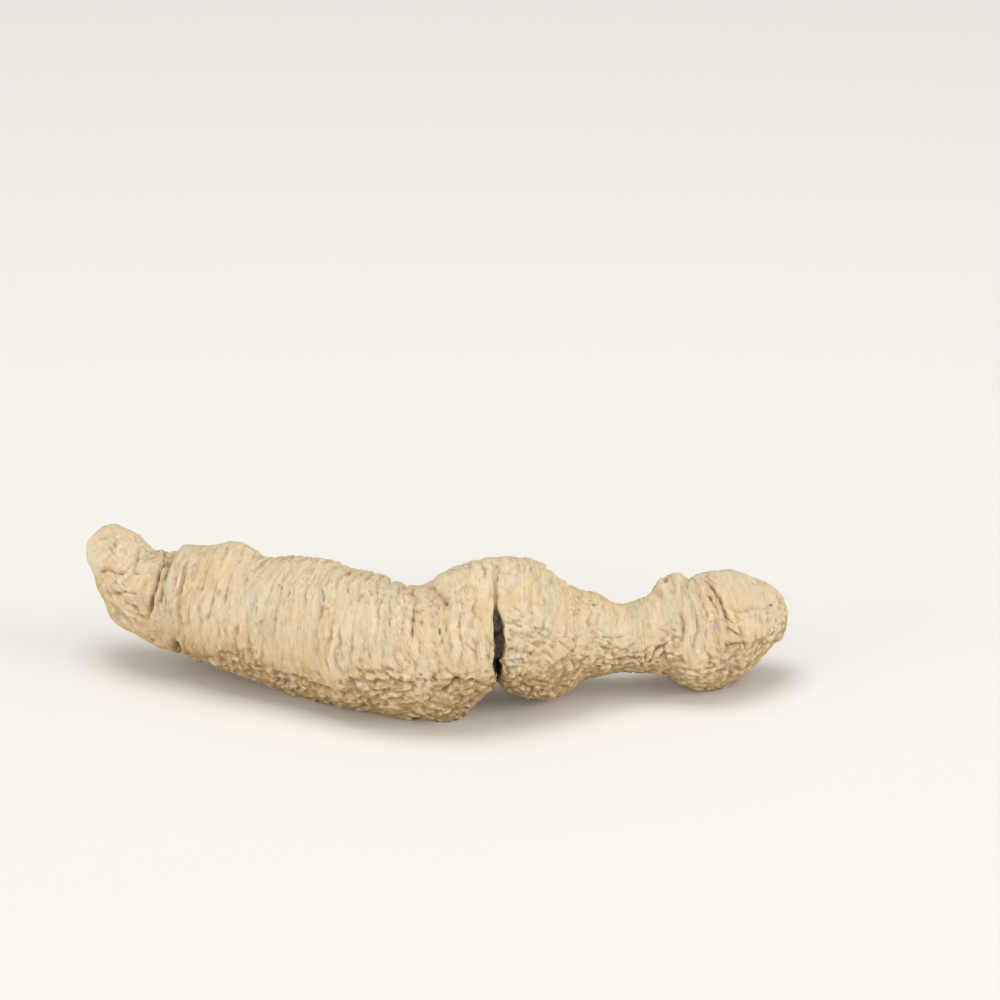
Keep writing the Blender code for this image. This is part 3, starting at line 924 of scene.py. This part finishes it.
threads = speckle(THREADS, 3.0, 4.0, 0.68, 0.6)
crumbs = speckle(CRUMBS, 9.0, 4.0, 0.62, 0.8)
pebble = pebbles(PEBBLES, PEBBLE_PUSH)
rough = mixed(crumbs, pebble, PEBBLE_SHARE, "FLOAT")
grain_height = mixed(threads, rough, value_of("crumpled"), "FLOAT")
powder = speckle(POWDER, 5.0, 3.0, 0.6)
bump_height = mixed(grain_height, powder, POWDER_SHARE, "FLOAT")
bump = tree.nodes.new("ShaderNodeBump")
feed(bump.inputs["Strength"], mixed(BUMP_ON_RINGS, BUMP_ON_CRUMPLED, value_of("crumpled"), "FLOAT"))
bump.inputs["Distance"].default_value = GRAIN_DEPTH
tree.links.new(bump_height, bump.inputs["Height"])
tree.links.new(bump.outputs["Normal"], shader.inputs["Normal"])
print("the grain stands", 1000 * GRAIN_DEPTH, "mm high at most")

# %% Ground, patches and streaks
PALE = (0.655, 0.545, 0.360, 1)
WARM = (0.620, 0.435, 0.250, 1)
COOL = (0.520, 0.480, 0.350, 1)
TAN = (0.470, 0.325, 0.165, 1)
# The colour of the dust and painted highlight on the crests and on the grain's tops.
DUST_AND_HIGHLIGHT = (0.760, 0.665, 0.465, 1)
# The colour of the painted warm reflected light low down.
PAINTED_BOUNCE_COLOUR = (0.620, 0.455, 0.240, 1)
# The colour of the painted shade underneath.
PAINTED_UNDER_SHADE = (0.470, 0.300, 0.125, 1)
PAINTED_BOUNCE_SHARE = 0.65
# Each layer: its colour, the stretch, shift, detail, roughness and distortion of its noise, the two noise
# values between which it comes in, and its share at most. Broad patches come first, fine streaks last.
PATCHES_AND_STREAKS = (
    (WARM, (0.20, 0.12, 0.12), 1.0, 3.0, 0.55, 0.0, 0.46, 0.70, 0.75),
    (COOL, (0.34, 0.10, 0.10), 7.0, 3.0, 0.55, 0.0, 0.50, 0.70, 0.60),
    (TAN, (1.30, 0.22, 0.22), 4.0, 4.0, 0.70, 0.8, 0.49, 0.70, 0.65),
    (TAN, (2.60, 0.40, 0.40), 12.0, 3.0, 0.70, 0.0, 0.52, 0.68, 0.28),
)

colour = PALE
for tone, stretched, shift, detail, roughness, distortion, low, high, most in PATCHES_AND_STREAKS:
    patches = between(speckle(stretched, shift, detail, roughness, distortion), low, high, most)
    colour = mixed(colour, tone, patches)
# Painted warm reflected light low down.
colour = mixed(colour, PAINTED_BOUNCE_COLOUR, times(value_of("painted_warm_bounce"), PAINTED_BOUNCE_SHARE))
# Painted shade underneath.
colour = mixed(colour, PAINTED_UNDER_SHADE, value_of("painted_shade_below"))
# Dust and a painted highlight on the crests.
dust_and_highlight_spread = between(speckle((0.6, 0.4, 0.4), 2.0), 0.35, 0.62, 0.60)
colour = mixed(colour, DUST_AND_HIGHLIGHT, times(value_of("crest"), dust_and_highlight_spread))
print(len(PATCHES_AND_STREAKS), "layers of patches and streaks lie on the pale ground")

# %% Furrows, grain and flecks
FURROW = (0.330, 0.205, 0.088, 1)
SHADED = (0.430, 0.310, 0.150, 1)
RED_BROWN = (0.235, 0.115, 0.050, 1)
GREY = (0.350, 0.385, 0.400, 1)
RED_BROWN_SHARE = 0.65

patchy = between(speckle((0.8, 0.35, 0.35), 6.0), 0.30, 0.62, 0.80)
colour = mixed(colour, FURROW, times(value_of("hollow"), patchy))
net_hollow = times(value_of("hollow"), value_of("netted"))
colour = mixed(colour, RED_BROWN, times(net_hollow, RED_BROWN_SHARE))
# Brown with painted shade in the gaps between the pebbles, only where the skin is crumpled and in the
# painted shade underneath.
between_pebbles = between(pebble, 0.50, 0.10, 0.80)
crumpled_in_painted_shade = times(value_of("crumpled"), value_of("painted_shade_below"))
colour = mixed(colour, FURROW, times(between_pebbles, crumpled_in_painted_shade))
# Dust and a painted highlight on the tops of the fine grain, and painted shade in its low places.
colour = mixed(colour, DUST_AND_HIGHLIGHT, between(grain_height, 0.54, 0.70, 0.35))
colour = mixed(SHADED, colour, between(grain_height, 0.26, 0.44))
flecks = between(speckle((2.4, 0.8, 0.8), 8.0, 3.0, 0.7), 0.50, 0.70, 0.62)
colour = mixed(colour, GREY, times(flecks, value_of("flecked")))

# %% Spot, slits and crack
SPOT = (0.640, 0.620, 0.480, 1)
CLEFT = (0.150, 0.090, 0.045, 1)
CRACK_WALL = (0.190, 0.150, 0.115, 1)
CRACK_CORE = (0.480, 0.420, 0.330, 1)
SPOT_ON_CALM = 0.28
SPOT_ON_TIP = 0.50

colour = mixed(colour, SPOT, times(value_of("calm"), SPOT_ON_CALM))
colour = mixed(colour, SPOT, times(value_of("tip_spot"), SPOT_ON_TIP))
# Dark stain and painted shade in the folds, slits and pits.
colour = mixed(colour, CLEFT, between(value_of("stain_and_shade"), 0.10, 0.85, 0.90))
inner = mixed(CRACK_WALL, CRACK_CORE, between(speckle((0.8, 0.5, 0.5), 2.5), 0.44, 0.60))
colour = mixed(colour, inner, value_of("inside"))
feed(shader.inputs["Base Color"], colour)
shader.inputs["Metallic"].default_value = 0.0
shader.inputs["Specular IOR Level"].default_value = 0.20
shader.inputs["Roughness"].default_value = 0.92
mesh.materials.append(bark)
print(len(tree.nodes), "shader nodes in the bark")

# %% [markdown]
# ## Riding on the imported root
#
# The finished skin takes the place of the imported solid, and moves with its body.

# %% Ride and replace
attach(root, BODY)
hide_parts(NODE)

# %% [markdown]
# ## Floor, light and camera
#
# The root lies on a plain pale floor under soft light, as in a studio tent: a wide lamp overhead, one at
# each side, a weak one in front, and a bright, even surround. The camera looks down by 22 degrees from
# 65 cm away, with a long lens.

# %% Floor
FLOOR_HALF = 3.0
PAPER = (0.80, 0.785, 0.76, 1)

floor_mesh = bpy.data.meshes.new("floor")
corners = [(x * FLOOR_HALF, y * FLOOR_HALF, 0) for x, y in ((-1, -1), (1, -1), (1, 1), (-1, 1))]
floor_mesh.from_pydata(corners, [], [(0, 1, 2, 3)])
floor = bpy.data.objects.new("floor", floor_mesh)
bpy.context.scene.collection.objects.link(floor)
paper = bpy.data.materials.new("pale_paper")
paper.use_nodes = True
paper_shader = paper.node_tree.nodes["Principled BSDF"]
paper_shader.inputs["Base Color"].default_value = PAPER
paper_shader.inputs["Roughness"].default_value = 0.9
floor_mesh.materials.append(paper)

# %% Light
SURROUND_COLOUR = (1.0, 0.99, 0.97, 1)
SURROUND_STRENGTH = 0.54
SOFT_WHITE = (1.0, 0.985, 0.96)
FRONT_WHITE = (1.0, 0.99, 0.97)
MIDDLE = Vector((0, 0, 0.01))

surround = bpy.data.worlds.new("surround")
surround.use_nodes = True
background = surround.node_tree.nodes["Background"]
background.inputs["Color"].default_value = SURROUND_COLOUR
background.inputs["Strength"].default_value = SURROUND_STRENGTH
bpy.context.scene.world = surround


def lamp(name, place, target, size, power, colour):
    """A square lamp at a place, turned towards a target."""
    data = bpy.data.lights.new(name, "AREA")
    data.size = size
    data.energy = power
    data.color = colour
    made = bpy.data.objects.new(name, data)
    made.location = place
    made.rotation_euler = (target - place).to_track_quat("-Z", "Y").to_euler()
    bpy.context.scene.collection.objects.link(made)


lamp("overhead", Vector((-0.10, 0.05, 0.80)), MIDDLE, 0.5, 3.0, SOFT_WHITE)
lamp("front", Vector((0.10, -0.80, 0.35)), MIDDLE, 0.5, 0.5, FRONT_WHITE)
lamp("left", Vector((-0.65, -0.50, 0.18)), MIDDLE, 0.4, 2.8, SOFT_WHITE)
lamp("right", Vector((0.70, -0.30, 0.25)), MIDDLE, 0.4, 3.1, SOFT_WHITE)
print("the surround's strength is", SURROUND_STRENGTH, "and four lamps shine on the root")

# %% Camera
ELEVATION = math.radians(22)
DISTANCE = 0.650
SENSOR = 36.0
LENS_SHARE = 5.2
AIM = Vector((7.875, 10.0, 24.8)) + Vector(TO_ORIGIN)
ahead = Vector((0, math.cos(ELEVATION), -math.sin(ELEVATION)))
camera = bpy.data.objects.new("camera", bpy.data.cameras.new("camera"))
camera.data.sensor_width = SENSOR
camera.data.lens = SENSOR * LENS_SHARE
camera.location = AIM * MM - ahead * DISTANCE
camera.rotation_euler = ahead.to_track_quat("-Z", "Y").to_euler()
camera.data.clip_end = 20
bpy.context.scene.collection.objects.link(camera)
bpy.context.scene.camera = camera
bpy.context.scene.view_settings.view_transform = "Standard"
print("the camera stands at", [round(c, 4) for c in camera.location])
